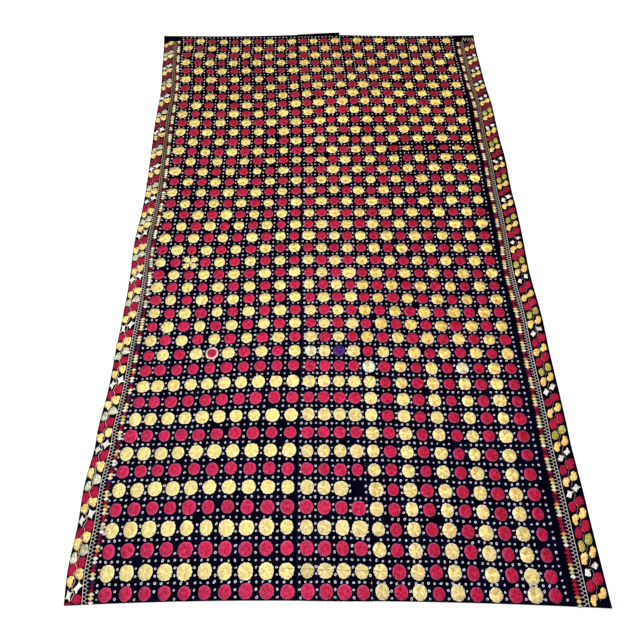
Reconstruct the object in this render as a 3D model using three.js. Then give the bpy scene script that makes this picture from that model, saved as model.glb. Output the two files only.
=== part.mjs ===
import * as THREE from 'three';

// A phulkari spread on the floor: three hand-loomed cotton panels sewn side by side.
// The outer two are a full loom width each and the middle one is a strip of the same cloth.
// Millimetres, +X to the right, +Y away from the near end, +Z up. The cloth lies on z = 0.

const THICKNESS = 1.5;
const SEAM_GAP = 0.4;
const HEM_DEPTH = 9;
const HEM_SLOPE = 0.8;
const HEM_RISE = 0.3;
const LENGTH_STEPS = 60;
const NAVY = 0x0b0d22;

// Where the two selvedges and the two seams run, at stations along the cloth.
const SIDES = [
  { along: -1116, left: -652, seamLeft: -75, seamRight: 111, right: 694.15 },
  { along: -950, left: -662, seamLeft: -78, seamRight: 109, right: 691 },
  { along: -750, left: -658, seamLeft: -77, seamRight: 108, right: 689 },
  { along: -560, left: -650, seamLeft: -72, seamRight: 108, right: 687 },
  { along: -310, left: -645, seamLeft: -67, seamRight: 109, right: 685 },
  { along: -60, left: -647, seamLeft: -75, seamRight: 105, right: 683 },
  { along: 150, left: -648, seamLeft: -71, seamRight: 107, right: 685 },
  { along: 430, left: -654, seamLeft: -75, seamRight: 108, right: 688 },
  { along: 660, left: -664, seamLeft: -83, seamRight: 107, right: 677 },
  { along: 830, left: -667, seamLeft: -93, seamRight: 99, right: 672 },
  { along: 1000, left: -678, seamLeft: -99, seamRight: 89, right: 672 },
  { along: 1116, left: -693.1, seamLeft: -101, seamRight: 84, right: 675 },
];

// How far each selvedge waves to the right of its line above.
const WAVES = [
  { along: -1116, left: -1, right: 0 },
  { along: -1035, left: -3.2, right: 0 },
  { along: -925, left: 4.2, right: 0 },
  { along: -820, left: -0.4, right: -0.5 },
  { along: -720, left: 4.8, right: -3.2 },
  { along: -660, left: 1.2, right: -1.8 },
  { along: -540, left: 4.8, right: -0.2 },
  { along: -420, left: 2, right: 0.5 },
  { along: -310, left: 2.6, right: 2.8 },
  { along: -150, left: 2.6, right: -2.3 },
  { along: -15, left: -3.2, right: 1.5 },
  { along: 130, left: 3, right: 1.3 },
  { along: 210, left: 4.2, right: -2 },
  { along: 350, left: 1.9, right: -0.4 },
  { along: 455, left: 0.6, right: -3 },
  { along: 530, left: 0.2, right: 0 },
  { along: 645, left: 3.4, right: 6.9 },
  { along: 690, left: 5.2, right: 6 },
  { along: 760, left: 3.9, right: 3.1 },
  { along: 880, left: -2.6, right: 2 },
  { along: 1000, left: -3.6, right: -0.5 },
  { along: 1116, left: -2, right: 0 },
];

// Each panel runs between two of those lines. Its ends are given at its left, middle and right.
const PANELS = [
  {
    name: 'panel_left', from: 'left', to: 'seamLeft', steps: 9,
    near: [-1107.5, -1099, -1098], far: [1108, 1099.5, 1103.5],
  },
  {
    name: 'panel_middle', from: 'seamLeft', to: 'seamRight', steps: 4,
    near: [-1098, -1099.5, -1100], far: [1106, 1112.5, 1117],
  },
  {
    name: 'panel_right', from: 'seamRight', to: 'right', steps: 9,
    near: [-1099.5, -1105.5, -1117], far: [1099.5, 1087.5, 1088],
  },
];

// Low swells where the cloth doesn't lie quite flat.
const SWELLS = [
  { across: 70, along: 740, reachAcross: 330, reachAlong: 210, height: 7 },
  { across: -560, along: 930, reachAcross: 170, reachAlong: 220, height: 5 },
  { across: -370, along: 130, reachAcross: 260, reachAlong: 190, height: 4 },
  { across: 480, along: 270, reachAcross: 210, reachAlong: 240, height: 4 },
  { across: -120, along: -500, reachAcross: 340, reachAlong: 200, height: 5 },
  { across: 560, along: -640, reachAcross: 190, reachAlong: 260, height: 4 },
];

// A smooth line through one column of a table.
function lineThrough(table, column, along) {
  const last = table.length - 1;
  let i = 0;
  while (i < last - 1 && along > table[i + 1].along) {
    i += 1;
  }
  const slope = (k) => {
    const before = table[Math.max(k - 1, 0)];
    const after = table[Math.min(k + 1, last)];
    return (after[column] - before[column]) / (after.along - before.along);
  };
  const run = table[i + 1].along - table[i].along;
  const t = THREE.MathUtils.clamp((along - table[i].along) / run, 0, 1);
  const rise = t * t * (3 - 2 * t);
  const start = table[i][column] * (1 - rise) + table[i + 1][column] * rise;
  const lean = slope(i) * t * (1 - t) * (1 - t) - slope(i + 1) * t * t * (1 - t);
  return start + run * lean;
}

// A seam follows its line, and a selvedge waves about its own.
function sideAt(column, along) {
  const wave = column in WAVES[0] ? lineThrough(WAVES, column, along) : 0;
  return lineThrough(SIDES, column, along) + wave;
}

// A panel's end is a shallow curve through its left, middle and right values.
function endAt([left, middle, right], share) {
  const bulge = middle - (left + right) / 2;
  return left + (right - left) * share + bulge * 4 * share * (1 - share);
}

// The height of the cloth's underside.
function swellAt(across, along) {
  let height = 0;
  for (const swell of SWELLS) {
    const dx = (across - swell.across) / swell.reachAcross;
    const dy = (along - swell.along) / swell.reachAlong;
    const left = Math.max(0, 1 - dx * dx - dy * dy);
    height += swell.height * left * left;
  }
  return height;
}

// Rows of points along a panel: a turned hem at each end, and even steps between.
function lengthRows() {
  const hemTop = HEM_DEPTH - HEM_SLOPE;
  const rows = [
    { share: 0, offset: 0, rise: HEM_RISE },
    { share: 0, offset: hemTop, rise: HEM_RISE },
    { share: 0, offset: HEM_DEPTH, rise: 0 },
  ];
  for (let i = 1; i < LENGTH_STEPS; i += 1) {
    rows.push({ share: i / LENGTH_STEPS, offset: 0, rise: 0 });
  }
  rows.push({ share: 1, offset: -HEM_DEPTH, rise: 0 });
  rows.push({ share: 1, offset: -hemTop, rise: HEM_RISE });
  rows.push({ share: 1, offset: 0, rise: HEM_RISE });
  return rows;
}

// A closed sheet: an upper and a lower skin of the same grid, joined round the edge.
function panelGeometry(panel) {
  const rows = lengthRows();
  const across = panel.steps + 1;
  const skin = rows.length * across;
  const upper = [];
  const lower = [];
  for (const row of rows) {
    for (let i = 0; i < across; i += 1) {
      const share = i / panel.steps;
      const near = endAt(panel.near, share);
      const far = endAt(panel.far, share);
      const y = near + (far - near) * row.share + row.offset;
      const from = sideAt(panel.from, y) + (panel.from === 'left' ? 0 : SEAM_GAP / 2);
      const to = sideAt(panel.to, y) - (panel.to === 'right' ? 0 : SEAM_GAP / 2);
      const x = from + (to - from) * share;
      const z = swellAt(x, y);
      upper.push(x, y, z + THICKNESS + row.rise);
      lower.push(x, y, z);
    }
  }
  const faces = [];
  const quad = (a, b, c, d) => faces.push(a, b, c, a, c, d);
  for (let j = 0; j < rows.length - 1; j += 1) {
    for (let i = 0; i < panel.steps; i += 1) {
      const a = j * across + i;
      const b = a + across;
      quad(a, a + 1, b + 1, b);
      quad(skin + a, skin + b, skin + b + 1, skin + a + 1);
    }
  }
  const rim = [];
  const lastRow = (rows.length - 1) * across;
  for (let i = 0; i < panel.steps; i += 1) {
    rim.push(i);
  }
  for (let j = 0; j < rows.length - 1; j += 1) {
    rim.push(j * across + panel.steps);
  }
  for (let i = panel.steps; i > 0; i -= 1) {
    rim.push(lastRow + i);
  }
  for (let j = rows.length - 1; j > 0; j -= 1) {
    rim.push(j * across);
  }
  rim.forEach((a, k) => {
    const b = rim[(k + 1) % rim.length];
    quad(skin + a, skin + b, b, a);
  });
  const geometry = new THREE.BufferGeometry();
  geometry.setAttribute('position', new THREE.Float32BufferAttribute([...upper, ...lower], 3));
  geometry.setIndex(faces);
  geometry.computeVertexNormals();
  return geometry;
}

const phulkari = new THREE.Group();
phulkari.name = 'phulkari';
for (const panel of PANELS) {
  const cotton = new THREE.MeshStandardMaterial({ color: NAVY, roughness: 0.9, metalness: 0 });
  const mesh = new THREE.Mesh(panelGeometry(panel), cotton);
  mesh.name = panel.name;
  phulkari.add(mesh);
}

export default phulkari;
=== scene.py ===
import math
from typing import NamedTuple

import bpy
import numpy as np
from bpy.props import FloatProperty, FloatVectorProperty, IntProperty, PointerProperty
from mathutils import Matrix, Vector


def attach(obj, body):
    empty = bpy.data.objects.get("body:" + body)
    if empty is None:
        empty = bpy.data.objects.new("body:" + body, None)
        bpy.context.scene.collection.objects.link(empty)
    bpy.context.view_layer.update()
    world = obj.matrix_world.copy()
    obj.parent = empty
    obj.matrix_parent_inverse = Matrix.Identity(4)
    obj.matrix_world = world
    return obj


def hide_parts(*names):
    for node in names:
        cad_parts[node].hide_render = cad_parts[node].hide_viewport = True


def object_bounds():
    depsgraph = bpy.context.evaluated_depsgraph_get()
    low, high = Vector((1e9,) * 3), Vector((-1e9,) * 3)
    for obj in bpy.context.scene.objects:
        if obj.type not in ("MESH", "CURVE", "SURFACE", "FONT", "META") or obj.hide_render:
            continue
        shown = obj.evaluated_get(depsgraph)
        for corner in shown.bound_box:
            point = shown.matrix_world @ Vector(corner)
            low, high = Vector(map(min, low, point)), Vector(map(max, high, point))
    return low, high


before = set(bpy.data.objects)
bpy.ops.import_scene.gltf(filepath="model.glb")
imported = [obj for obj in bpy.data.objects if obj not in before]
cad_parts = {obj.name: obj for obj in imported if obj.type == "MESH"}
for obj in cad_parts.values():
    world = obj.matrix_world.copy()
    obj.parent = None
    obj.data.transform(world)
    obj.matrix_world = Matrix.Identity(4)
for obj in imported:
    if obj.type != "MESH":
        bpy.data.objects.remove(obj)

bl_info = {
    "name": "Phulkari",
    "version": (1, 0, 0),
    "blender": (4, 5, 0),
    "location": "View3D > Sidebar > Phulkari",
    "description": "An embroidered cotton shawl spread flat, stitched in floss silk",
    "category": "Add Mesh",
}

CAD_BOX = [list(corner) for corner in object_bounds()]
MM = 0.001


# Where the cloth's edges, seams and stitches lie, in millimetres

def table(kind, *rows):
    """Rows with named columns."""
    return tuple(map(kind._make, rows))


class Side(NamedTuple):
    """Where the selvedges and seams run at one station along the cloth."""
    along: float
    left: float
    seam_left: float
    seam_right: float
    right: float


SIDES = table(
    Side,
    (-1116, -652, -75, 111, 694.15), (-950, -662, -78, 109, 691), (-750, -658, -77, 108, 689),
    (-560, -650, -72, 108, 687), (-310, -645, -67, 109, 685), (-60, -647, -75, 105, 683),
    (150, -648, -71, 107, 685), (430, -654, -75, 108, 688), (660, -664, -83, 107, 677),
    (830, -667, -93, 99, 672), (1000, -678, -99, 89, 672), (1116, -693.1, -101, 84, 675))


class Wave(NamedTuple):
    """How far each selvedge waves to the right of its line above."""
    along: float
    left: float
    right: float


WAVES = table(
    Wave,
    (-1116, -1, 0), (-1035, -3.2, 0), (-925, 4.2, 0), (-820, -0.4, -0.5), (-720, 4.8, -3.2),
    (-660, 1.2, -1.8), (-540, 4.8, -0.2), (-420, 2, 0.5), (-310, 2.6, 2.8), (-150, 2.6, -2.3),
    (-15, -3.2, 1.5), (130, 3, 1.3), (210, 4.2, -2), (350, 1.9, -0.4), (455, 0.6, -3), (530, 0.2, 0),
    (645, 3.4, 6.9), (690, 5.2, 6), (760, 3.9, 3.1), (880, -2.6, 2), (1000, -3.6, -0.5), (1116, -2, 0))


class Panel(NamedTuple):
    """A loom width of cloth, its ends at its left, middle and right, and its columns of discs."""
    node: str
    start: str
    end: str
    near: tuple
    far: tuple
    first_column: int
    columns: int
    first_share: float
    last_share: float
    eyelet_lines: tuple

    @property
    def column_step(self):
        """The share of the width from one column of discs to the next."""
        return (self.last_share - self.first_share) / (self.columns - 1)


LEFT = Panel("panel_left", "left", "seam_left", (-1107.5, -1099, -1098), (1108, 1099.5, 1103.5),
             1, 10, 0.170, 0.957, (-0.42, *(i + 0.5 for i in range(9)), 9.55))
MIDDLE = Panel("panel_middle", "seam_left", "seam_right", (-1098, -1099.5, -1100), (1106, 1112.5, 1117),
               11, 4, 0.130, 0.880, (-0.41, 0.5, 1.5, 2.5, 3.44))
RIGHT = Panel("panel_right", "seam_right", "right", (-1099.5, -1105.5, -1117), (1099.5, 1087.5, 1088),
              15, 10, 0.042, 0.779, (-0.55, *(i + 0.5 for i in range(9)), 9.54))
PANELS = (LEFT, MIDDLE, RIGHT)
OPEN_LINES = {("panel_left", 9.55), ("panel_right", -0.55)}  # the middle panel carries these eyelets
SEAM_GAP = 0.4  # between two panels


class Swell(NamedTuple):
    """A place where the cloth doesn't lie quite flat, or where its stitches are drawn along or across."""
    across: float
    along: float
    reach_across: float
    reach_along: float
    amount: float


SWELLS = table(
    Swell,
    (70, 740, 330, 210, 7), (-560, 930, 170, 220, 5), (-370, 130, 260, 190, 4),
    (480, 270, 210, 240, 4), (-120, -500, 340, 200, 5), (560, -640, 190, 260, 4))
PULLS = table(
    Swell,
    (90, 740, 420, 330, 4), (-250, 910, 300, 130, 9), (190, 600, 280, 150, 9), (640, 760, 160, 130, 10),
    (-600, 950, 180, 220, 8), (520, 1060, 420, 170, -13), (-360, 340, 330, 330, -7),
    (420, 480, 300, 260, 6), (-430, -40, 420, 400, -11), (500, -150, 420, 400, -13),
    (120, -70, 300, 230, -5), (-60, -520, 520, 430, 13), (-240, -920, 420, 230, 7),
    (420, -760, 260, 300, -3), (600, -920, 340, 420, -13), (-220, 1040, 520, 110, -4.5),
    (260, 760, 500, 230, 5), (0, 140, 900, 170, -3.5), (-330, -810, 380, 150, 4.5),
    (10, -990, 230, 270, 4), (-220, -1090, 260, 60, 3), (530, -1090, 210, 60, 5),
    (-230, 945, 110, 60, -8), (500, 945, 170, 60, -6), (-350, 670, 190, 110, -5), (590, 660, 80, 110, 6),
    (30, 520, 120, 150, 5), (-580, 400, 90, 180, 4.5), (20, 190, 120, 110, 4.5),
    (420, -420, 110, 100, 5), (600, -590, 80, 160, -5))
DRIFTS = table(
    Swell,
    (-380, 600, 430, 700, 11), (-420, 1090, 420, 160, 9), (-380, 920, 330, 110, -7),
    (-330, -860, 300, 440, -10), (620, 860, 280, 380, 11), (450, -850, 330, 480, -6),
    (300, 80, 260, 480, -5), (-560, -480, 70, 320, 8), (420, 900, 420, 400, 3.4), (0, 830, 210, 230, 3.5),
    (-380, 110, 330, 210, 4.5), (400, -330, 330, 240, -3), (-380, -330, 300, 140, 2.5),
    (400, -1060, 330, 140, -2.2), (-400, 1050, 200, 80, -4.5), (590, 940, 90, 110, -5),
    (590, 660, 120, 100, 5), (150, 440, 160, 80, -4), (-190, -160, 130, 320, 3.5),
    (160, -210, 90, 170, -4), (-40, -430, 90, 110, 3), (-210, -610, 130, 90, -4), (360, -720, 80, 190, 4))


class Crease(NamedTuple):
    """A soft trough where the cloth was folded. mark is how dark a line is painted along it across the silk.
    """
    from_across: float
    from_along: float
    to_across: float
    to_along: float
    reach: float
    depth: float
    mark: float


CREASES = table(
    Crease,
    (-120, -1025, 152, -1034, 8, 0.6, 0.55), (8, -981, 82, -982, 6, 0.3, 0.35),
    (230, 424, 640, 409, 14, 0.8, 0.0), (-450, 398, 30, 335, 18, 0.7, 0.0))
CREASE_FADE = 40  # how long the ends of a trough are

ROWS = 44
LAST_CHEQUERED_ROW = 31
END_MARGIN = 1.0  # what the discs leave free at the near end
SIZE_ROWS = (1, 3, 7, 20, 32, 40, 44)
SIZE_SHARES = (0.94, 0.97, 1.02, 1.015, 0.985, 0.98, 0.965)
# Painted shade: the red discs darker towards the far end, as shares of their colour at these rows
RED_ROWS = (4, 9, 14, 22, 30)
RED_SHADES = (0.66, 0.8, 0.86, 0.9, 1.0)
ODD_DISCS = {  # discs that break the pattern, by row and column
    (24, 3): "flower", (31, 5): "ringed", (31, 11): "cream", (31, 13): "purple",
    (32, 15): "white", (32, 21): "white", (39, 14): "missing",
}


class Wear(NamedTuple):
    """A run of yellow discs whose floss is partly lost."""
    row: int
    first: int
    last: int
    amount: float


WORN = table(
    Wear,
    (13, 6, 9, 0.15), (14, 6, 11, 0.2), (14, 18, 24, 0.72), (15, 5, 12, 0.34), (16, 5, 12, 0.3),
    (17, 8, 11, 0.2), (18, 12, 14, 0.15))


class Border(NamedTuple):
    """How far each part of a side border is from the cloth's edge, and how its buds and lozenges run."""
    panel: Panel
    edge: str
    inward: int
    outer_bud: float
    inner_bud: float
    outer_shift: float
    line: float
    lozenge: float
    far_share: float
    bud_shear: float
    vein_radius: float
    stations: tuple
    buds: tuple
    lozenges: tuple


class Station(NamedTuple):
    """How far along the cloth the inner bud of a number is."""
    number: int
    along: float


class Run(NamedTuple):
    """Colours that repeat from the bud or lozenge of a number upwards."""
    first: int
    tints: str


FAR_LOZENGES = "maroon maroon peach cream cream cream peach"
LEFT_BORDER = Border(
    LEFT, "left", 1, outer_bud=9.7, inner_bud=30.4, outer_shift=-16.5, line=44.6, lozenge=66.0,
    far_share=1.0, bud_shear=0.1, vein_radius=0.48,
    stations=table(Station, (0, -1097), (9, -836), (18, -545), (27, -264), (36, 0), (47, 340), (59, 722),
                   (70, 1055)),
    buds=table(Run, (0, "red white yellow red sage yellow"), (39, "sage yellow red white yellow"),
               (44, "sage red yellow white red yellow")),
    lozenges=table(
        Run,
        (0, "white yellow yellow plum plum purple cream yellow red plum white white red orange yellow plum "
            "plum plum white sage yellow red red cream yellow orange red"),
        (71, "cream cream peach red plum purple purple cream yellow peach red maroon peach cream yellow "
             "yellow peach"),
        (88, "plum plum plum plum white sage peach maroon maroon cream sage cream maroon white white white "
             "cream cream peach"),
        (107, "maroon maroon peach sage sage cream red peach sage sage cream"),
        (118, "red red plum plum cream cream white cream"),
        (126, "maroon maroon peach sage cream sage cream"),
        (133, "maroon maroon peach cream sage cream"),
        *((first, FAR_LOZENGES) for first in (150, 163, 181, 214))))
RIGHT_BORDER = Border(
    RIGHT, "right", -1, outer_bud=16.6, inner_bud=38.6, outer_shift=16.5, line=54.2, lozenge=77.4,
    far_share=0.9, bud_shear=0.3, vein_radius=0.16,
    stations=table(Station, (0, -1100), (5, -945), (13, -690), (31, -115), (49, 435), (58, 685), (70, 1022)),
    buds=table(Run, (0, "yellow red white yellow"), (4, "olive red yellow red white yellow"),
               (10, "red white yellow"), (13, "olive red yellow red white yellow"),
               (34, "white red yellow olive red yellow"), (58, "white red yellow"), (70, "red")),
    lozenges=table(
        Run,
        (0, "sage yellow orange red red red red white"),
        (27, "red plum red cream yellow yellow orange plum red cream sage yellow yellow"),
        (159, "plum plum cream peach cream peach"), (184, "plum plum peach peach cream peach")))
BORDERS = (LEFT_BORDER, RIGHT_BORDER)
NARROWED_AT = (400.0, 650.0, 1000.0)  # from where a border narrows, where it is narrowest, and its far end
# Painted light and shade of the far buds: yellow, white and olive lighter and red darker, as shares of their
# colour
FAR_SHADES = {"yellow": 1.25, "red": 0.58, "white": 1.1, "olive": 1.3}  # of the far buds
NEAR_MARGIN = 1.5  # what the stitches leave free at the near end
FIRST_LOZENGE = 6.0  # from the near end
SHORTEST_BUD = 6.0
BUD_OVERRUN = 4.0  # how far past the lattice's far end a bud may reach
LINE_STEP = 9.0
VEIN_SWING = 3.6
ZIGZAG_INWARD = (5.0, 62.0, 6.4)  # where the zigzag that closes a border starts and ends, and its step
ZIGZAG_LOW, ZIGZAG_HIGH = 2.0, 22.0
SEAMS = {"seam_left": (-1094.0, 1098.0), "seam_right": (-1097.0, 1090.0)}  # where the sewing starts and ends
SEAM_STEP = 7.0
STITCH_STEP = 5.0
STITCH_ACROSS = 2.2
STITCH_ALONG = 1.0

# How much the places of stitches vary, and the seeds of what varies
DISC_SPREAD = 0.7
EYELET_SPREAD = 0.8
BUD_SPREAD = 0.7
INWARD_SPREAD = 0.5
LOST_EYELETS = 0.03  # as a share of them all
DISC_SEED, YELLOW_SEED, RED_SEED, EYELET_SEED = 11, 21, 31, 51
BORDER_SEED, BUD_SEED, LOZENGE_SEED = 71, 81, 91

# How stitches sit on the cloth, in metres, and as a share of the thread's radius
PAD_SINK = 0.0001
RING_RISE = 0.0007
THREAD_SEAT = 0.6

# One disc with a ring round it, and one in the shape of a flower, as shares of a disc's radius
RING_SIZE, RINGED_SIZE = 1.17, 0.93
PETAL_LONG, PETAL_WIDE, PETAL_AWAY, FLOWER_HEART = 0.594, 0.5225, 0.88, 0.34


def line_through(stations, values, at):
    """A smooth line through values at stations."""
    stations, values = np.asarray(stations, float), np.asarray(values, float)
    last = len(stations) - 1
    before = np.maximum(np.arange(last + 1) - 1, 0)
    after = np.minimum(np.arange(last + 1) + 1, last)
    slopes = (values[after] - values[before]) / (stations[after] - stations[before])
    i = np.clip(np.searchsorted(stations, at) - 1, 0, last - 1)
    run = stations[i + 1] - stations[i]
    t = np.clip((at - stations[i]) / run, 0, 1)
    ease = t * t * (3 - 2 * t)
    lean = slopes[i] * t * (1 - t) ** 2 - slopes[i + 1] * t * t * (1 - t)
    return values[i] * (1 - ease) + values[i + 1] * ease + run * lean


def column_at(rows, column, along):
    """A smooth line through one column of a table."""
    return line_through([row.along for row in rows], [getattr(row, column) for row in rows], along)


def side_at(column, along):
    """Where a selvedge or seam is, across the cloth."""
    return column_at(SIDES, column, along)


def edge_at(column, along):
    """Where a seam is, or where a selvedge is with its waves."""
    line = side_at(column, along)
    return line + column_at(WAVES, column, along) if column in Wave._fields else line


def end_at(ends, share):
    """Where a panel's end is, as a shallow curve through its left, middle and right."""
    left, middle, right = ends
    bulge = middle - (left + right) / 2
    return left + (right - left) * share + bulge * 4 * share * (1 - share)


def sum_of(swells, across, along):
    """The sum of soft round swells at places on the cloth."""
    total = np.zeros(np.broadcast(across, along).shape)
    for s in swells:
        dx = (across - s.across) / s.reach_across
        dy = (along - s.along) / s.reach_along
        total = total + s.amount * np.maximum(0, 1 - dx * dx - dy * dy) ** 2
    return total


def trough_at(across, along):
    """How deep the creases are at places on the cloth."""
    total = np.zeros(np.broadcast(across, along).shape)
    for c in CREASES:
        run, rise = c.to_across - c.from_across, c.to_along - c.from_along
        part = (across - c.from_across) / run
        off = (along - c.from_along - rise * part) / c.reach
        ends = np.clip(np.minimum(part, 1 - part) * run / CREASE_FADE, 0, 1)
        total = total + c.depth * ends * np.maximum(0, 1 - off * off) ** 2
    return total


def across_at(panel, share, along):
    """How far across the cloth a share of a panel's width is."""
    start, end = side_at(panel.start, along), side_at(panel.end, along)
    return start + (end - start) * share


def width_of(panel):
    """A panel's width half way along."""
    return across_at(panel, 1.0, 0.0) - across_at(panel, 0.0, 0.0)


def slope_at(across, along):
    """How steeply the cloth rises across and along, over a millimetre."""
    here = sum_of(SWELLS, across, along)
    return sum_of(SWELLS, across + 1.0, along) - here, sum_of(SWELLS, across, along + 1.0) - here


# Settings

def dyed(red, green, blue):
    """A screen colour in 0 to 255 as the linear colour that Blender uses."""
    shares = [c / 255 for c in (red, green, blue)]
    return tuple(c / 12.92 if c <= 0.04045 else ((c + 0.055) / 1.055) ** 2.4 for c in shares)


def quantity(name, description, default, **kind):
    """A number that a user may change."""
    return FloatProperty(name=name, description=description, default=default, **kind)


def length(name, description, metres):
    """A size that a user may change."""
    return quantity(name, description, metres, min=0.0, subtype="DISTANCE", unit="LENGTH", precision=5)


def fraction(name, description, default):
    """A share of a whole that a user may change."""
    return quantity(name, description, default, subtype="FACTOR")


def angle(name, description, degrees):
    """A turn that a user may change."""
    return quantity(name, description, math.radians(degrees), subtype="ANGLE", unit="ROTATION")


def linear_colour(name, description, linear):
    """A colour that a user may change, as Blender uses it."""
    return FloatVectorProperty(name=name, description=description, default=linear, size=3,
                               min=0.0, max=1.0, subtype="COLOR")


def colour(name, description, *screen):
    """A colour that a user may change, from a screen colour."""
    return linear_colour(name, description, dyed(*screen))


class ClothSettings(bpy.types.PropertyGroup):
    """The navy cotton that everything is stitched on."""
    thickness: length("Thickness", "Thickness of the cotton", 0.0015)
    hem_depth: length("Hem depth", "How far each end is turned under", 0.009)
    hem_rise: length("Hem rise", "How much the turned end lifts the cloth", 0.0003)
    hem_slope: length("Hem slope", "Over what length a hem's edge falls", 0.001)
    pucker: length("Pucker", "How far the cloth stands up between the discs", 0.0007)
    mesh_step: length("Mesh step", "Distance between points of the mesh", 0.0072)
    thread_spacing: length("Thread spacing", "Distance between threads of the weave", 0.0009)
    seam_radius: length("Seam radius", "Radius of the seams' thread", 0.0004)
    seam_sink: length("Seam sink", "How far the joining thread is below the cloth's face", 0.0005)
    navy: colour("Navy", "Cotton in its hollows", 3, 2, 6)
    worn_navy: colour("Worn navy", "Cotton where it is rubbed", 12, 13, 42)
    dusty_navy: colour("Dusty navy", "Rubbed cotton at the far end", 14, 4, 8)


class DiscSettings(bpy.types.PropertyGroup):
    """The floss silk discs that cover the field."""
    first_row: length("First row", "How far along the cloth the far row is", 1.064)
    row_pitch: length("Row pitch", "Distance between rows", 0.05)
    yellow_radius: length("Yellow radius", "Radius of a yellow disc", 0.0198)
    red_radius: length("Red radius", "Radius of a red disc", 0.0181)
    height: length("Height", "How far a disc stands up", 0.0013)
    spokes: IntProperty(name="Spokes", description="Stitches modelled round a disc", default=28, min=8)
    # The change from gold and crimson at the far end to straw and rose at the near end is painted sheen and
    # shade
    gold: colour("Gold", "Yellow silk at the far end", 242, 208, 116)
    straw: colour("Straw", "Faded yellow silk at the near end", 193, 176, 122)
    crimson: colour("Crimson", "Red silk at the far end", 184, 11, 47)
    rose: colour("Rose", "Faded red silk at the near end", 170, 26, 65)
    wine: colour("Wine", "Red silk on the right panel", 146, 7, 48)
    lemon: colour("Lemon", "Yellow silk on the left panel", 236, 220, 128)
    amber: colour("Amber", "Yellow silk on the right panel", 190, 158, 76)
    cream: colour("Cream", "A disc in cream silk", 200, 200, 160)
    blush: colour("Blush", "The ring round one disc", 214, 186, 158)
    white: colour("White", "A disc in white silk", 196, 188, 164)
    purple: colour("Purple", "A disc in purple silk", 64, 18, 96)


class EyeletSettings(bpy.types.PropertyGroup):
    """The small white rings between the discs."""
    radius: length("Radius", "Outer radius of an eyelet", 0.00285)
    sides: IntProperty(name="Sides", description="Sides of an eyelet's ring", default=8, min=3)
    hole: fraction("Hole", "Radius of the hole as a share of the eyelet's", 0.5)
    height: length("Height", "How far an eyelet stands up", 0.0011)
    far_share: fraction("Far share", "Size of the far eyelets as a share of the near ones", 0.84)
    thread: colour("Thread", "White cotton thread", 246, 246, 254)
    soiled: colour("Soiled", "Thread where it is soiled", 248, 236, 228)


class BorderSettings(bpy.types.PropertyGroup):
    """The buds, lozenges and lattice of the side borders."""
    bud_half_width: length("Bud half width", "Half the width of a bud", 0.0116)
    bud_half_length: length("Bud half length", "Half the length of a bud", 0.0142)
    bud_height: length("Bud height", "How far a bud stands up", 0.0014)
    lozenge_half_width: length("Lozenge half width", "Half the width of a lozenge", 0.0084)
    lozenge_half_length: length("Lozenge half length", "Half the length of a lozenge", 0.0054)
    lozenge_height: length("Lozenge height", "How far a lozenge stands up", 0.0011)
    lattice_pitch: length("Lattice pitch", "Distance between lozenges, and holes of the lattice", 0.0091)
    lattice_bar: length("Lattice bar", "How far a bar reaches from the line to the zigzag", 0.006)
    lattice_tooth: length("Lattice tooth", "How far the zigzag swings out from the bars", 0.0045)
    line_radius: length("Line radius", "Radius of the straight line's thread", 0.00055)
    thread_radius: length("Thread radius", "Radius of the lattice thread", 0.00056)
    end_radius: length("End radius", "Radius of the thread that closes a border", 0.0012)
    plain_corner: length("Plain corner", "How far short of the far end a border stops", 0.043)
    red: colour("Red", "Red silk", 156, 14, 50)
    yellow: colour("Yellow", "Yellow silk", 228, 199, 124)
    amber: colour("Amber", "Warmer yellow silk of the right border", 246, 190, 100)
    orange: colour("Orange", "Orange silk", 210, 150, 80)
    cream: colour("Cream", "Cream silk", 244, 230, 188)
    peach: colour("Peach", "Peach silk", 240, 204, 164)
    white: colour("White", "White silk", 240, 233, 220)
    sage: colour("Sage", "Grey-green silk", 192, 190, 162)
    olive: colour("Olive", "Yellow-green silk", 168, 158, 72)
    plum: colour("Plum", "Purple-red silk", 100, 13, 42)
    maroon: colour("Maroon", "Brown-red silk", 106, 16, 26)
    purple: colour("Purple", "Purple silk", 52, 24, 84)
    thread: colour("Thread", "Lattice thread", 250, 242, 229)
    tan: colour("Tan", "Lattice thread where it is soiled", 190, 157, 123)
    vein: colour("Vein", "Thread between the buds", 255, 226, 214)


class StageSettings(bpy.types.PropertyGroup):
    """The camera, the floor and the light."""
    camera_place: FloatVectorProperty(name="Camera", description="Where the camera stands", size=3,
                                      default=(-0.0194, -1.0642, 1.4510), subtype="XYZ", unit="LENGTH")
    tilt: angle("Tilt", "How far the camera looks up from straight down", 27.26)
    yaw: angle("Yaw", "How far the camera is turned to the left", 1.01)
    roll: angle("Roll", "How far the camera leans", -1.33)
    lens: quantity("Lens", "Focal length in millimetres", 28.97)
    sensor: quantity("Sensor", "Width of the sensor in millimetres", 36.0)
    shift: quantity("Shift", "Sideways shift of the view", 0.0094)
    floor: linear_colour("Floor", "The pale floor", (0.92, 0.92, 0.92))
    floor_reach: length("Floor reach", "How far the floor goes on each side", 9.0)
    floor_drop: length("Floor drop", "How far the floor is below the cloth", 0.0002)
    sky: quantity("Sky", "Strength of the light from all round", 0.45)
    softbox_watts: quantity("Softbox", "Power of the light overhead", 296.0)
    softbox_size: length("Softbox size", "Width of the light overhead", 7.0)
    softbox_place: FloatVectorProperty(name="Softbox place", description="Where the light hangs", size=3,
                                       default=(0.0, 0.2, 4.0), subtype="XYZ", unit="LENGTH")


class PhulkariSettings(bpy.types.PropertyGroup):
    """All settings of the cloth and its stage."""
    cloth: PointerProperty(type=ClothSettings)
    discs: PointerProperty(type=DiscSettings)
    eyelets: PointerProperty(type=EyeletSettings)
    border: PointerProperty(type=BorderSettings)
    stage: PointerProperty(type=StageSettings)


# Node trees written as expressions

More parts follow.
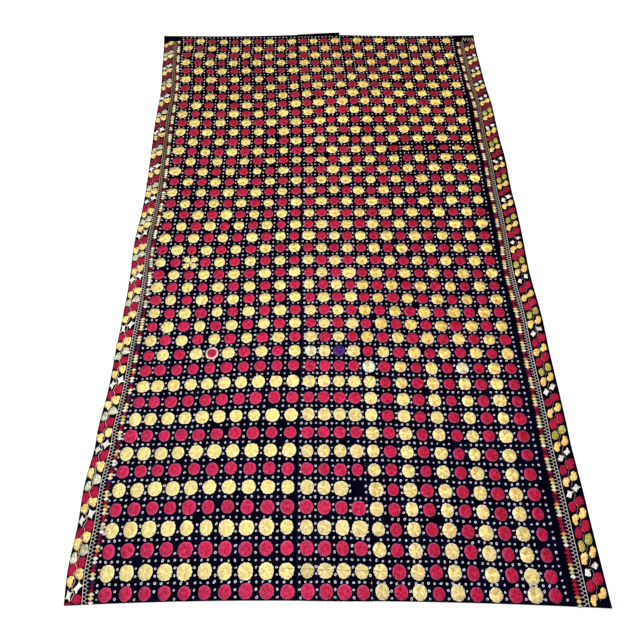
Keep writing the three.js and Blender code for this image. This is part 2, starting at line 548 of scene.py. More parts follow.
class Wire:
    """A node's output that takes part in Python expressions."""

    def __init__(self, graph, socket):
        self.graph = graph
        self.socket = socket

    def math(self, operation, *values):
        return self.graph.add("ShaderNodeMath", dict(enumerate(values)), operation=operation)

    def __abs__(self):
        return self.math("ABSOLUTE", self)

    def sine(self):
        return self.math("SINE", self)

    def cosine(self):
        return self.math("COSINE", self)

    def at_least(self, low):
        return self.math("MAXIMUM", self, low)

    def at_most(self, high):
        return self.math("MINIMUM", self, high)

    def held(self, high=1.0):
        """Kept from 0 to a highest value."""
        return self.at_least(0.0).at_most(high)

    def parts(self):
        """The three numbers of a vector."""
        node = self.graph.tree.nodes.new("ShaderNodeSeparateXYZ")
        self.graph.tree.links.new(self.socket, node.inputs[0])
        return [Wire(self.graph, out) for out in node.outputs]


def overload(name, operation):
    """Gives wires an operator and its reflected form."""
    setattr(Wire, f"__{name}__", lambda self, other: self.math(operation, self, other))
    setattr(Wire, f"__r{name}__", lambda self, other: self.math(operation, other, self))


overload("add", "ADD")
overload("sub", "SUBTRACT")
overload("mul", "MULTIPLY")
overload("truediv", "DIVIDE")
overload("pow", "POWER")


class Graph:
    """A node tree that nodes are added to by type."""

    def __init__(self, tree):
        self.tree = tree

    def add(self, kind, sockets=None, out=0, **settings):
        """Adds a node, sets its settings and its sockets, and returns one of its outputs."""
        node = self.tree.nodes.new(kind)
        for name, value in settings.items():
            setattr(node, name, value)
        for key, value in (sockets or {}).items():
            if isinstance(value, Wire):
                self.tree.links.new(value.socket, node.inputs[key])
            else:
                node.inputs[key].default_value = value
        return Wire(self, node.outputs[out]) if len(node.outputs) else None

    def vector(self, x, y, z):
        return self.add("ShaderNodeCombineXYZ", {0: x, 1: y, 2: z})

    def noise(self, vector, scale, detail=2.0):
        return self.add("ShaderNodeTexNoise", {"Vector": vector, "Scale": scale, "Detail": detail})

    def noise_at(self, x, y, z, detail=2.0, scale=1.0):
        return self.noise(self.vector(x, y, z), scale, detail)


class ShapeGraph(Graph):
    """A Geometry Nodes tree with named inputs."""

    def __init__(self, name):
        super().__init__(bpy.data.node_groups.new(name, "GeometryNodeTree"))
        self.tree.interface.new_socket("Geometry", in_out="OUTPUT", socket_type="NodeSocketGeometry")
        self.inlet = self.tree.nodes.new("NodeGroupInput")
        self.points, = self.inputs("Geometry", "Points")

    def inputs(self, kind, *names):
        """Adds inputs of one kind."""
        for name in names:
            self.tree.interface.new_socket(name, in_out="INPUT", socket_type="NodeSocket" + kind)
        return [Wire(self, self.inlet.outputs[name]) for name in names]

    def named(self, name, kind="FLOAT"):
        """A value that each stitch carries."""
        return self.add("GeometryNodeInputNamedAttribute", {"Name": name}, data_type=kind)

    def triple(self, name):
        """The three numbers of a vector that each stitch carries."""
        return self.named(name, "FLOAT_VECTOR").parts()

    def store(self, geometry, name, value):
        sockets = {"Geometry": geometry, "Name": name, "Value": value}
        return self.add("GeometryNodeStoreNamedAttribute", sockets, data_type="FLOAT_VECTOR", domain="POINT")

    def place(self, geometry, position):
        return self.add("GeometryNodeSetPosition", {"Geometry": geometry, "Position": position})

    def position(self):
        return self.add("GeometryNodeInputPosition")

    def rolled(self, sides, rings, profile):
        """A grid to be rolled up round a centre. Its points carry their unit places as floss.

        profile gives how far out a point is and its third number, from its turn and its place across.
        """
        sockets = {"Size X": 1.0, "Size Y": 1.0, "Vertices X": sides + 1, "Vertices Y": rings}
        grid = self.add("GeometryNodeMeshGrid", sockets)
        u, v, _ = self.position().parts()
        turn = 0.5 - u
        out, third = profile(turn, v)
        round_it = turn * math.tau
        return self.store(grid, "floss", self.vector(out * round_it.cosine(), out * round_it.sine(), third))

    def closed(self, geometry, distance):
        return self.add("GeometryNodeMergeByDistance", {"Geometry": geometry, "Distance": distance})

    def realized(self, geometry):
        return self.add("GeometryNodeRealizeInstances", {"Geometry": geometry})

    def finish(self, geometry, material):
        """Realizes the stitches, smooths them and gives them their material."""
        smooth = self.add("GeometryNodeSetShadeSmooth", {"Geometry": self.realized(geometry)})
        painted = self.add("GeometryNodeSetMaterial", {"Geometry": smooth, "Material": material})
        self.add("NodeGroupOutput", {"Geometry": painted})
        return self.tree


def floss_tree():
    """Silk stitched over an area: a low pad whose outline, bites and wear come from each point."""
    g = ShapeGraph("floss_pad")
    spokes, rings = g.inputs("Int", "Spokes", "Rings")
    ridge, tooth, uneven = g.inputs("Float", "Ridge", "Tooth", "Unevenness")
    material, = g.inputs("Material", "Material")

    # A fan of stitches round a centre
    def profile(turn, v):
        return (v + 0.5) ** 0.85, (turn * spokes * math.pi).cosine()

    fan = g.rolled(spokes, rings + 1, profile)
    fx, fy, _ = g.triple("floss")
    fan = g.closed(g.place(fan, g.vector(fx, fy, 0.0)), 0.001)

    # One fan at each point, with the point's own place kept
    hearts = g.store(g.points, "heart", g.position())
    pads = g.realized(g.add("GeometryNodeInstanceOnPoints", {"Points": hearts, "Instance": fan}))

    # The pad's outline
    x, y, parity = g.triple("floss")
    reach = ((x * x + y * y) ** 0.5).at_least(0.0001)
    c, s = x / reach, y / reach
    form = g.named("form")
    outline = (abs(c) ** form + abs(s) ** form).at_least(0.0001) ** (-1.0 / form)
    seed = g.named("seed") * 61.0
    wobble = g.noise_at(c * 1.5 + seed, s * 1.5, seed)
    loss = g.noise_at(c * 2.3, s * 2.3 - seed, seed, 3.0)
    loss = ((loss - 0.4) * 4.5).held() * g.named("wear") * 0.8
    bx, by, depth = g.triple("bite")
    bite = (c * bx + s * by).at_least(0.0) ** 7.0 * depth
    ends = g.noise_at(c * 4.4 - seed, s * 4.4, seed, 1.0)
    outline = outline * (1.0 + uneven * (wobble - 0.5) + g.named("fray") * (ends - 0.5))
    outline = outline * (1.0 - loss) * (1.0 - bite) * (1.0 + tooth * parity)

    # Its size, turn and height on the sloping cloth
    half_x, half_y, height = g.triple("half")
    turn = g.named("turn")
    local_x, local_y = reach * outline * c * half_x, reach * outline * s * half_y
    local_x = local_x * (1.0 + g.named("taper") * reach * outline * s)
    local_y = local_y + g.named("shear") * local_x
    px = local_x * turn.cosine() - local_y * turn.sine()
    py = local_x * turn.sine() + local_y * turn.cosine()
    rise = 1.0 - 1.15 * reach ** 9.0 - 0.25 * (1.0 - reach).at_least(0.0) ** 3.0
    rise = rise + ridge * parity * reach * (1.0 - reach)
    slope_x, slope_y, _ = g.triple("slope")
    hx, hy, hz = g.triple("heart")
    z = hz + slope_x * px + slope_y * py + rise * height
    return g.finish(g.place(pads, g.vector(hx + px, hy + py, z)), material)


def eyelet_tree():
    """A small ring of buttonholed thread at each point."""
    g = ShapeGraph("eyelet")
    sides, = g.inputs("Int", "Sides")
    hole, radius, height = g.inputs("Float", "Hole", "Radius", "Height")
    material, = g.inputs("Material", "Material")

    def profile(turn, v):
        return hole + (1.0 - hole) * (v + 0.5), 1.0 - 4.4 * v * v

    ring = g.rolled(sides, 3, profile)
    fx, fy, fz = g.triple("floss")
    ring = g.closed(g.place(ring, g.vector(fx * radius, fy * radius, fz * height)), 0.00001)
    sockets = {"Points": g.points, "Instance": ring, "Scale": g.named("size", "FLOAT_VECTOR"),
               "Rotation": g.vector(0.0, 0.0, g.named("turn"))}
    return g.finish(g.add("GeometryNodeInstanceOnPoints", sockets), material)


def thread_tree():
    """A round thread along each line of points."""
    g = ShapeGraph("thread")
    radius, = g.inputs("Float", "Radius")
    material, = g.inputs("Material", "Material")
    path = g.add("GeometryNodeMeshToCurve", {"Mesh": g.points})
    section = g.add("GeometryNodeCurvePrimitiveCircle", {"Resolution": 5, "Radius": radius})
    sockets = {"Curve": path, "Profile Curve": section, "Fill Caps": True}
    return g.finish(g.add("GeometryNodeCurveToMesh", sockets), material)


# Pieces

STITCHED_ON = {panel.node: [] for panel in PANELS}
# How a value is stored, by how many numbers it has
VALUE_KINDS = {1: ("FLOAT", "value"), 3: ("FLOAT_VECTOR", "vector"), 4: ("FLOAT_COLOR", "color")}
PLAIN_PAD = {"form": 2.0, "turn": 0.0, "bite": (1.0, 0.0, 0.0), "taper": 0.0, "shear": 0.0,
             "wear": 0.0, "fray": 0.0, "lobes": 0.0}


def add_object(name, data):
    piece = bpy.data.objects.new(name, data)
    bpy.context.scene.collection.objects.link(piece)
    return piece


def stitched(name, tree, points, values, inputs, panel, edges=()):
    """Runs a stitch tree on points that carry values, and keeps the result as a plain piece on a panel."""
    mesh = bpy.data.meshes.new(name + "_points")
    mesh.from_pydata(points, edges, [])
    for label, numbers in values.items():
        numbers = np.asarray(numbers, float).reshape(len(points), -1)
        kind, field = VALUE_KINDS[numbers.shape[1]]
        mesh.attributes.new(label, kind, "POINT").data.foreach_set(field, numbers.ravel())
    carrier = add_object(name + "_points", mesh)
    modifier = carrier.modifiers.new("stitches", "NODES")
    modifier.node_group = tree
    for item in tree.interface.items_tree:
        if item.in_out == "INPUT" and item.name in inputs:
            modifier[item.identifier] = inputs[item.name]
    graph = bpy.context.evaluated_depsgraph_get()
    evaluated = carrier.evaluated_get(graph)
    whole = bpy.data.meshes.new_from_object(evaluated, preserve_all_data_layers=True, depsgraph=graph)
    bpy.data.objects.remove(carrier)
    bpy.data.meshes.remove(mesh)
    if not len(whole.polygons):
        raise RuntimeError(f"{name} came out empty")
    whole.name = name
    piece = add_object(name, whole)
    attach(piece, "root")
    STITCHED_ON[panel.node].append(piece)


def sewn(name, tree, lines, radius, finish, panel):
    """Lays a thread along each line of points, as one piece."""
    points, edges = [], []
    for line in lines:
        first = len(points)
        points += line
        edges += [(first + i, first + i + 1) for i in range(len(line) - 1)]
    stitched(name, tree, points, {}, {"Radius": radius, "Material": finish}, panel, edges)


class Pads:
    """The silk pads of one piece."""

    def __init__(self, seed):
        self.random = np.random.default_rng(seed)
        self.places = []
        self.pads = []

    def add(self, place, half, dye, **looks):
        """Adds a pad at a place in metres. looks say how it differs from a plain pad."""
        slope = slope_at(place[0] / MM, place[1] / MM)
        own = {"half": half, "dye": (*dye, 1.0), "seed": self.random.random(), "slope": (*slope, 0.0)}
        self.places.append(place)
        self.pads.append({**PLAIN_PAD, **looks, **own})

    def make(self, name, tree, finish, panel, slot, **inputs):
        """Stitches the pads as one piece, with the tree's named inputs."""
        values = {label: [pad[label] for pad in self.pads] for label in self.pads[0]}
        stitched(name, tree, self.places, values, {**inputs, "Material": finish}, panel)


def mixed(first, second, amount):
    """A colour between two others."""
    return tuple(a + (b - a) * amount for a, b in zip(first, second))


def shaded(dye, amount):
    """A colour made lighter or darker."""
    return tuple(min(1.0, max(0.0, c * amount)) for c in dye)


def between(low, high, value):
    """How far a value is on its way from low to high, from 0 to 1."""
    return float(np.clip((value - low) / (high - low), 0, 1))


def near_to(middle, reach, value):
    """1 where a value is at the middle, and less on both sides."""
    return math.exp(-((value - middle) / reach) ** 2)


def top_of(cloth, across, along, puff):
    """The height of the cloth's upper face, where puff is 1 between the discs and 0 under them."""
    height = sum_of(SWELLS, across, along) - trough_at(across, along)
    return height * MM + cloth.thickness + cloth.pucker * puff


def on_cloth(cloth, across, along, lift=0.0, puff=1.0):
    """A place or places in millimetres as points on the cloth's upper face, in metres."""
    return np.stack([across * MM, along * MM, top_of(cloth, across, along, puff) + lift], -1).tolist()


def field_place(settings, panel, column, row):
    """Where a column and row of the field cross, in millimetres, parts of a column and row included."""
    discs = settings.discs
    along = (discs.first_row - discs.row_pitch * row) / MM
    at = panel.first_share + panel.column_step * column
    along = along + sum_of(PULLS, across_at(panel, at, along), along)
    across = across_at(panel, at, along)
    return across + sum_of(DRIFTS, across, along), along


def spread_out(random, place, spread):
    """A place moved a little at random."""
    across, along = place
    return across + random.normal(0, spread), along + random.normal(0, spread)


def border_place(border, inward, along):
    """A place in a side border, in millimetres in from its edge where the border is widest."""
    narrowed = np.interp(along, NARROWED_AT, (1.0, border.far_share, 0.5 + border.far_share / 2))
    return edge_at(border.edge, along) + border.inward * inward * narrowed, along


def tint_of(runs, number):
    """The colour of a bud or lozenge."""
    run = [r for r in runs if r.first <= number][-1]
    tints = run.tints.split()
    return tints[(number - run.first) % len(tints)]


def bud_along(border, number):
    """How far along the cloth a bud is, parts of a number included."""
    return np.interp(number, *zip(*border.stations))


def reach_of(settings, border):
    """The stretch of the cloth that a border is stitched on, in millimetres."""
    outer = 0.0 if border.edge == "left" else 1.0
    near, far = end_at(border.panel.near, outer), end_at(border.panel.far, outer)
    return float(near), float(far) - settings.border.plain_corner / MM


def near_end(panel, across, along):
    """Where the panel's near end is below a place."""
    start, end = side_at(panel.start, along), side_at(panel.end, along)
    return end_at(panel.near, (across - start) / (end - start))


# Finishes

class FinishGraph(Graph):
    """A material's node tree."""

    def __init__(self, name):
        self.material = bpy.data.materials.new(name)
        self.material.use_nodes = True
        super().__init__(self.material.node_tree)
        self.tree.nodes.clear()

    def position(self):
        return self.add("ShaderNodeTexCoord", out="Object")

    def carried(self, name, out="Fac"):
        """A value that the piece's points carry."""
        return self.add("ShaderNodeAttribute", out=out, attribute_name=name)

    def vectors(self, operation, *values):
        return self.add("ShaderNodeVectorMath", dict(enumerate(values)), operation=operation)

    def scaled(self, tint, amount):
        """A colour times a number."""
        return self.add("ShaderNodeVectorMath", {0: tint, "Scale": amount}, operation="SCALE")

    def blended(self, amount, *tints):
        """A colour between two others, by a wire."""
        first, second = (t if isinstance(t, Wire) else (*t, 1.0) for t in tints)
        return self.add("ShaderNodeMix", {"Factor": amount, 6: first, 7: second}, 2, data_type="RGBA")

    def finish(self, base, roughness, specular, relief=(), metallic=0.0):
        """Ends the material in one shader. relief is a bump's height, strength and distance."""
        sockets = {"Base Color": base, "Roughness": roughness, "Specular IOR Level": specular,
                   "Metallic": metallic}
        if relief:
            bump = dict(zip(("Height", "Strength", "Distance"), relief))
            sockets["Normal"] = self.add("ShaderNodeBump", bump)
        shader = self.add("ShaderNodeBsdfPrincipled", sockets)
        self.add("ShaderNodeOutputMaterial", {"Surface": shader})
        return self.material


def cotton_finish(cloth):
    """Navy hand-woven cotton: a plain weave with uneven threads, rubbed paler in places."""
    g = FinishGraph("navy_cotton")
    place = g.position()
    x, y, _ = place.parts()
    turns = math.tau / cloth.thread_spacing
    drift = g.noise(place, 45.0) * 9.0
    warp, weft = (x * turns + drift).sine(), (y * turns + drift).sine()
    weave = warp * weft * 0.5 + 0.5
    slub = g.noise(place, 420.0, 3.0)
    rubbed = ((g.noise(place, 17.0, 4.0) - 0.46) * 3.5).held()
    amount = (rubbed * 0.45 + weave * 0.3 + (slub - 0.5) * 0.8).held()
    worn = g.blended(((y + 0.7) * 0.8).held(), cloth.worn_navy, cloth.dusty_navy)
    base = g.blended(amount, cloth.navy, worn)
    return g.finish(base, 0.86 + 0.1 * slub, 0.0, (weave + slub, 0.5, 0.0003))


def crease_marks(g):
    """Thin broken darker lines painted where creases cross the silk, from 0 to 1."""
    place = g.position()
    x, y, _ = place.parts()
    broken = g.noise(place, 260.0)
    total = 0.0
    for c in CREASES:
        if c.mark:
            part = (x - c.from_across * MM) / ((c.to_across - c.from_across) * MM)
            line = part * ((c.to_along - c.from_along) * MM) + c.from_along * MM
            off = abs(y - line + (broken - 0.5) * 0.002) / 0.0017
            ends = (part * (1.0 - part) * 90.0).held()
            total = total + (1.4 - off * 1.4).at_least(0.0) * ends * (broken * 1.6).at_most(1.0) * c.mark
    return total.at_most(1.0)


def silk_finish(name, radial, grit=1.6, warmth=(), highlight_tint=(), flecks=0.0, far_highlight_cut=0.0):
    """Untwisted floss silk in the colour that each pad carries, its threads radial or side by side.

    grit is how uneven it is, warmth how its heart differs, frosting the painted highlight that its rim
    and flecks gain, and thaw how much less of that painted highlight the far discs gain.
    """
    g = FinishGraph(name)
    x, y, _ = g.carried("floss", "Vector").parts()
    dye = g.carried("dye", "Color")
    seed = g.carried("seed") * 41.0
    lobes, wear = g.carried("lobes"), g.carried("wear")
    reach = ((x * x + y * y) ** 0.5).at_least(0.001)
    c, s = x / reach, y / reach

    # Light and dark threads, partly uneven floss and partly painted sheen and shade, and the gaps between
    # them
    if radial:
        thread = g.vector(c * 4.2, s * 4.2, seed + reach * 0.5)
        sector = g.noise_at(c * 1.4 + seed, s * 1.4, seed + reach * 0.4, 1.0)
    else:
        thread = g.vector(x * 0.8, y * 6.5, seed)
        sector = g.noise_at(x * 0.5 + seed, y * 1.8, seed, 1.0)
    strand, fibre, fine = g.noise(thread, 0.9), g.noise(thread, 3.6), g.noise(thread, 13.0, 1.0)
    patch = g.noise_at(x * 2.8 + seed, y * 2.8, seed, 3.0)
    grain = g.noise_at(x * 4.2 + seed, y * 4.2, seed)
    tone = (sector - 0.5) * (0.8 + lobes * 2.0) + (strand - 0.5) * (1.1 + lobes) + (fibre - 0.5) * 1.8
    tone = tone + (patch - 0.5) * (1.0 + lobes * 2.0) + (grain - 0.5) * 3.4
    grit = grit + lobes * (1.15 - grit) if radial else grit
    # painted sheen: threads running across the cloth painted lighter and those running along it darker, as a
    # highlight would light them
    tone = tone * grit + lobes * (c * c - s * s) * (reach * 1.6).at_most(1.0) * 0.8
    rim = ((reach - 0.72) * 3.6).held()
    gap = ((0.42 - fibre) * 9.0).held() * (0.2 + rim * 0.4)
    shine = (0.5 + tone * 0.7 + rim * 0.2).held()
    # deep is the painted shade and pale the painted sheen of the threads, the rim painted paler
    deep = g.vectors("MULTIPLY", dye, (0.62, 0.5, 0.38))
    pale = g.vectors("MULTIPLY_ADD", dye, (1.12, 1.24, 1.36), (0.006, 0.006, 0.009))
    base = g.blended(shine, deep, pale)

    # A warmer heart that grows with the painted sheen, a little darker towards the rim, and painted
    # highlights on the rim and in flecks
    if radial:
        heart = (1.0 - reach * 1.2).at_least(0.0) * (0.1 + lobes)
        base = g.vectors("MULTIPLY", base, g.vector(*(1.0 + heart * gain for gain in warmth)))
        base = g.scaled(base, 1.04 - reach * reach * 0.13)
        speck = g.noise_at(y * 4.2 - seed, x * 4.2, seed, 1.0)
        # painted highlight: the rim and scattered flecks lightened towards white
        painted_highlight = ((reach - 0.6) * 2.5).held() ** 2.0 + ((speck - 0.58) * 5.0).held() * flecks
        base = g.vectors("ADD", base, g.scaled(highlight_tint, painted_highlight * (1.0 - lobes * far_highlight_cut)))
        base = g.scaled(base, 1.0 - ((0.4 - speck) * 4.0).held() * grit * 0.4)
    base = g.scaled(base, 1.0 - gap)

    # Bare cotton where the floss is lost, and darker lines painted along the creases
    bare = g.noise_at(c * 1.8 + seed, s * 1.8, seed + reach * 1.6, scale=1.3)
    bare = ((bare - 0.66 + wear * 0.3) * 9.0).held() * (wear * 5.0).at_most(0.9)
    base = g.blended(bare, base, (0.03, 0.016, 0.008))
    if radial:
        base = g.blended(crease_marks(g), base, (0.07, 0.035, 0.01))
    height = (strand * 0.5 + fibre * 0.35 + fine * 0.1) * (reach * 2.2 + 0.1).at_most(1.0)
    roughness = 0.3 - 0.14 * (strand * 0.5 + fibre * 0.5)
    return g.finish(base, roughness, 0.1, (height, 1.0, 0.0017), metallic=0.66)


def thread_finish(name, tint, soiled, strand_length):
    """Twisted thread with its plies, soiled here and there and more towards the far end."""
    g = FinishGraph(name)
    place = g.position()
    x, y, z = place.parts()
    ply = ((x + y + z * 2.0) * (math.tau / strand_length)).sine() * 0.5 + 0.5
    far = ((y + 0.25) * 1.15).held(0.85)
    soil = ((g.noise(place, 90.0, 3.0) - 0.45) * 0.8 + far).held()
    base = g.scaled(g.blended(soil, tint, soiled), 0.85 + 0.2 * ply)
    return g.finish(base, 0.7 - 0.15 * ply, 0.3, (ply, 0.5, 0.0003))


def floor_finish(tint):
    """A plain pale floor with a faint mottle."""
    g = FinishGraph("pale_floor")
    mottle = g.noise(g.position(), 3.0, 3.0)
    base = g.blended(mottle, shaded(tint, 0.99), shaded(tint, 1.01))
    return g.finish(base, 0.9 + 0.05 * mottle, 0.1)


# Operators, one for each group of pieces, after the functions that it calls

def cloth_sheet(settings, panel):
    """A closed thin sheet on the panel's outline and swells, puckered between the discs."""
    cloth = settings.cloth
    wide = round(width_of(panel) * MM / cloth.mesh_step)
    long = round((panel.far[1] - panel.near[1]) * MM / cloth.mesh_step)
    shares, steps = np.meshgrid(np.linspace(0, 1, wide + 1), np.linspace(0, 1, long + 1))
    near, far = end_at(panel.near, shares), end_at(panel.far, shares)
    along = near + (far - near) * steps
    start, end = edge_at(panel.start, along), edge_at(panel.end, along)
    across = start + (end - start) * shares
    inset = np.where(shares == 0, panel.start != "left", 0)
    inset = inset - np.where(shares == 1, panel.end != "right", 0)
    from_end = np.minimum(along - near, far - along) * MM
    hem = np.clip((cloth.hem_depth - from_end) / cloth.hem_slope, 0, 1) * cloth.hem_rise
    top = top_of(cloth, across, along, puff_at(settings, panel, across, along)) + hem
    under = sum_of(SWELLS, across, along) * MM
    flat = [(across + inset * SEAM_GAP / 2) * MM, along * MM]
    points = np.concatenate([np.stack([*flat, z], -1).reshape(-1, 3) for z in (top, under)])
    mesh = bpy.data.meshes.new(panel.node + "_cloth")
    mesh.from_pydata(points.tolist(), [], sheet_faces(wide, long))
    mesh.shade_smooth()
    mesh.update()
    return add_object(panel.node + "_cloth", mesh)


def puff_at(settings, panel, across, along):
    """How far the cloth is puckered up: 0 under the middle of a disc, 1 between the discs."""
    discs = settings.discs
    column = (across - across_at(panel, 0.0, along) - sum_of(DRIFTS, across, along)) / width_of(panel)
    column = (column - panel.first_share) / panel.column_step
    row = (discs.first_row / MM + sum_of(PULLS, across, along) - along) / (discs.row_pitch / MM)
    inside = (column > -0.5) & (column < panel.columns - 0.5) & (row > -0.5) & (row < ROWS - 0.5)
    dip = (1 + np.cos(math.tau * column)) * (1 + np.cos(math.tau * row)) / 4
    return 1 - np.where(inside, dip, 0)


def sheet_faces(wide, long):
    """Quads of the upper and lower skins and of the edge that joins them."""
    skin = (wide + 1) * (long + 1)
    number = np.arange(skin).reshape(long + 1, wide + 1)
    a, b, c, d = number[:-1, :-1], number[:-1, 1:], number[1:, 1:], number[1:, :-1]
    upper = np.stack([a, b, c, d], -1).reshape(-1, 4)
    rim = np.concatenate([number[0, :-1], number[:-1, -1], number[-1, :0:-1], number[:0:-1, 0]])
    after = np.roll(rim, -1)
    edge = np.stack([rim + skin, after + skin, after, rim], -1)
    return np.concatenate([upper, upper[:, ::-1] + skin, edge]).tolist()


class PHULKARI_OT_cloth(bpy.types.Operator):
    """Lays the three panels of navy cotton side by side"""
    bl_idname = "phulkari.cloth"
    bl_label = "Cloth panels"

    def execute(self, context):
        settings = context.scene.phulkari
        finish = cotton_finish(settings.cloth)
        for panel in PANELS:
            piece = cloth_sheet(settings, panel)
            piece.data.materials.append(finish)
            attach(piece, "root")
            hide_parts(panel.node)
        return {"FINISHED"}


def add_disc(settings, pads, random, panel, column, row):
    """One disc, or what is in its place where the pattern breaks."""
    discs = settings.discs
    number = panel.first_column + column
    odd = ODD_DISCS.get((row, number), "")
    kind = disc_kind(panel, number, row)
    place = field_place(settings, panel, column, row - 1)
    across, along = spread_out(random, place, DISC_SPREAD)
    nearness = disc_nearness(number, row)
    radius = discs.yellow_radius if kind == "yellow" else discs.red_radius
    radius *= random.normal(float(line_through(SIZE_ROWS, SIZE_SHARES, row)), 0.035)
    # The near discs are smaller on the right panel, and the last rows of all are drawn out along the cloth
    if panel is RIGHT:
        radius *= 1 - 0.05 * between(30, 38, row)
    longer = radius * (1 + 0.07 * between(38, 42, row))
    along = max(along, float(near_end(panel, across, along)) + longer / MM + END_MARGIN)
    half = (radius * random.normal(1.0, 0.04), longer, discs.height)
    dye = disc_dye(discs, random, panel, kind, number, row, nearness)
    place = on_cloth(settings.cloth, across, along, puff=0.75)
    wear = max([w.amount for w in WORN if w.row == row and w.first <= number <= w.last] or [0.0])
    wear = wear * random.uniform(0.6, 1.15) if kind == "yellow" else 0.0
    if odd == "missing":
        return
    if odd == "flower":
        add_flower(pads["yellow"], place, radius, half[2], dye)
        return
    if odd == "ringed":
        pads["red"].add(place, (half[0] * RING_SIZE, half[1] * RING_SIZE, half[2]), discs.blush)
        half = (half[0] * RINGED_SIZE, half[1] * RINGED_SIZE, half[2])
        place = (*place[:2], place[2] + RING_RISE)
    elif odd:
        dye = getattr(discs, odd)
    # Painted sheen: how much highlight and shade is painted across a disc's threads, most on the far discs
    # and a little more on the right panel
    lobes = 0.8 * (1 - nearness) ** 0.7 + (0.2 if panel is RIGHT else 0.0)
    pads[kind].add(place, half, dye, form=random.uniform(1.95, 2.35), wear=wear,
                   fray=0.2 + 0.77 * (1 - nearness) + 1.6 * wear, lobes=lobes)


def disc_kind(panel, number, row):
    """Chequered at first, then striped across on two panels and along on the right one."""
    if row <= LAST_CHEQUERED_ROW:
        even = (row + number) % 2 == 0
    else:
        even = (number if panel is RIGHT else row) % 2 == 0
    return "red" if even else "yellow"


def disc_nearness(number, row):
    """How near a disc is, from 0 at the far end to 1 at the near end, and sooner on the left."""
    return float(np.clip((row - 1) / 40 - 0.22 * (number - 8) / 16, 0, 1)) ** 0.65


def disc_dye(discs, random, panel, kind, number, row, nearness):
    """A disc's colour: a painted change of sheen and shade from the far end to the near end, a little
    lighter round the eleventh row, the reds darker towards the far end, and different from panel to panel.
    """
    pair = (discs.gold, discs.straw) if kind == "yellow" else (discs.crimson, discs.rose)
    # painted sheen and shade: the colour changes from the far end to the near end
    dye = shaded(mixed(*pair, nearness), random.normal(1.0, 0.05) + 0.13 * near_to(11, 8, row))
    if kind == "red":
        dye = mixed(dye, discs.wine, 0.7 * between(11, 19, number))
        return shaded(dye, float(np.interp(row, RED_ROWS, RED_SHADES)))
    if panel is LEFT:
        return mixed(dye, discs.lemon, 0.3)
    if panel is RIGHT:
        return mixed(dye, discs.amber, 0.6 * near_to(28, 4, row))
    return dye


def add_flower(pads, place, radius, height, dye):
    """Four petals round a small centre."""
    heart, away = radius * FLOWER_HEART, radius * PETAL_AWAY
    petal = (radius * PETAL_LONG, radius * PETAL_WIDE, height)
    dye = shaded(dye, 1.12)
    pads.add(place, (heart, heart, height), dye, form=1.3)
    for corner in range(4):
        turn = math.tau * (corner + 0.5) / 4
        at = (place[0] + math.cos(turn) * away, place[1] + math.sin(turn) * away)
        pads.add((*at, place[2]), petal, dye, turn=turn)


class PHULKARI_OT_discs(bpy.types.Operator):
    """Stitches the yellow and red floss discs of the field"""
    bl_idname = "phulkari.discs"
    bl_label = "Floss discs"

    def execute(self, context):
        settings = context.scene.phulkari
        tree = floss_tree()
        finishes = {
            "yellow": silk_finish("yellow_floss", True, grit=0.6, warmth=(0.36, 0.22, -0.5),
                                  highlight_tint=(0.05, 0.075, 0.17), flecks=0.4, far_highlight_cut=-0.3),
            "red": silk_finish("red_floss", True, grit=1.0, warmth=(0.3, -0.6, -0.6),
                               highlight_tint=(0.03, 0.055, 0.1), flecks=0.8, far_highlight_cut=0.5),
        }
        for number, panel in enumerate(PANELS):
            random = np.random.default_rng(DISC_SEED + number)
            pads = {"yellow": Pads(YELLOW_SEED + number), "red": Pads(RED_SEED + number)}
            for row in range(1, ROWS + 1):
                for column in range(panel.columns):
                    add_disc(settings, pads, random, panel, column, row)
            for kind, group in pads.items():
                group.make(f"{panel.node}_{kind}_discs", tree, finishes[kind], panel, kind + "_silk",
                           Spokes=settings.discs.spokes, Rings=3, Ridge=0.3, Tooth=0.035, Unevenness=0.23)
        return {"FINISHED"}


def eyelet_crossings(panel):
    """Columns and rows, in parts, of three eyelets to each side of a disc's square."""
    lines = panel.eyelet_lines
    for line in lines:
        if (panel.node, line) not in OPEN_LINES:
            for third in range(3 * ROWS):
                yield line, -0.5 + third / 3
    for row in range(ROWS):
        for line, following in zip(lines, lines[1:]):
            for third in (1, 2):
                yield line + (following - line) * third / 3, row - 0.5


class PHULKARI_OT_eyelets(bpy.types.Operator):
    """Stitches the white eyelets along the lines between the discs"""
    bl_idname = "phulkari.eyelets"
    bl_label = "Eyelets"

    def execute(self, context):
        settings = context.scene.phulkari
        eyelets = settings.eyelets
        tree = eyelet_tree()
        finish = thread_finish("white_thread", eyelets.thread, eyelets.soiled, strand_length=0.0011)
        inputs = {"Sides": eyelets.sides, "Hole": eyelets.hole, "Radius": eyelets.radius,
                  "Height": eyelets.height, "Material": finish}
        for number, panel in enumerate(PANELS):
            random = np.random.default_rng(EYELET_SEED + number)
            kept = [at for at in eyelet_crossings(panel) if random.random() > LOST_EYELETS]
            places = []
            for column, row in kept:
                place = field_place(settings, panel, column, row)
                places.append(on_cloth(settings.cloth, *spread_out(random, place, EYELET_SPREAD)))
            size = np.clip(random.normal(1.0, 0.13, len(places)), 0.6, 1.25)
            long = np.clip(random.normal(1.1, 0.1, len(places)), 0.9, 1.4)
            size = size * np.interp([y for _, y, _ in places], (-0.6, 0.6), (1.0, eyelets.far_share))
            values = {"size": np.stack([size * long, size / long, np.ones(len(places))], -1),
                      "turn": random.normal(0.9, 0.6, len(places))}
            stitched(f"{panel.node}_eyelets", tree, places, values, inputs, panel)
        return {"FINISHED"}


def pad_place(settings, border, random, inward, along):
    """Where a pad is, a little nearer to the edge or farther from it at random."""
    inward = inward + random.normal(0, INWARD_SPREAD)
    return on_cloth(settings.cloth, *border_place(border, inward, along), lift=-PAD_SINK)


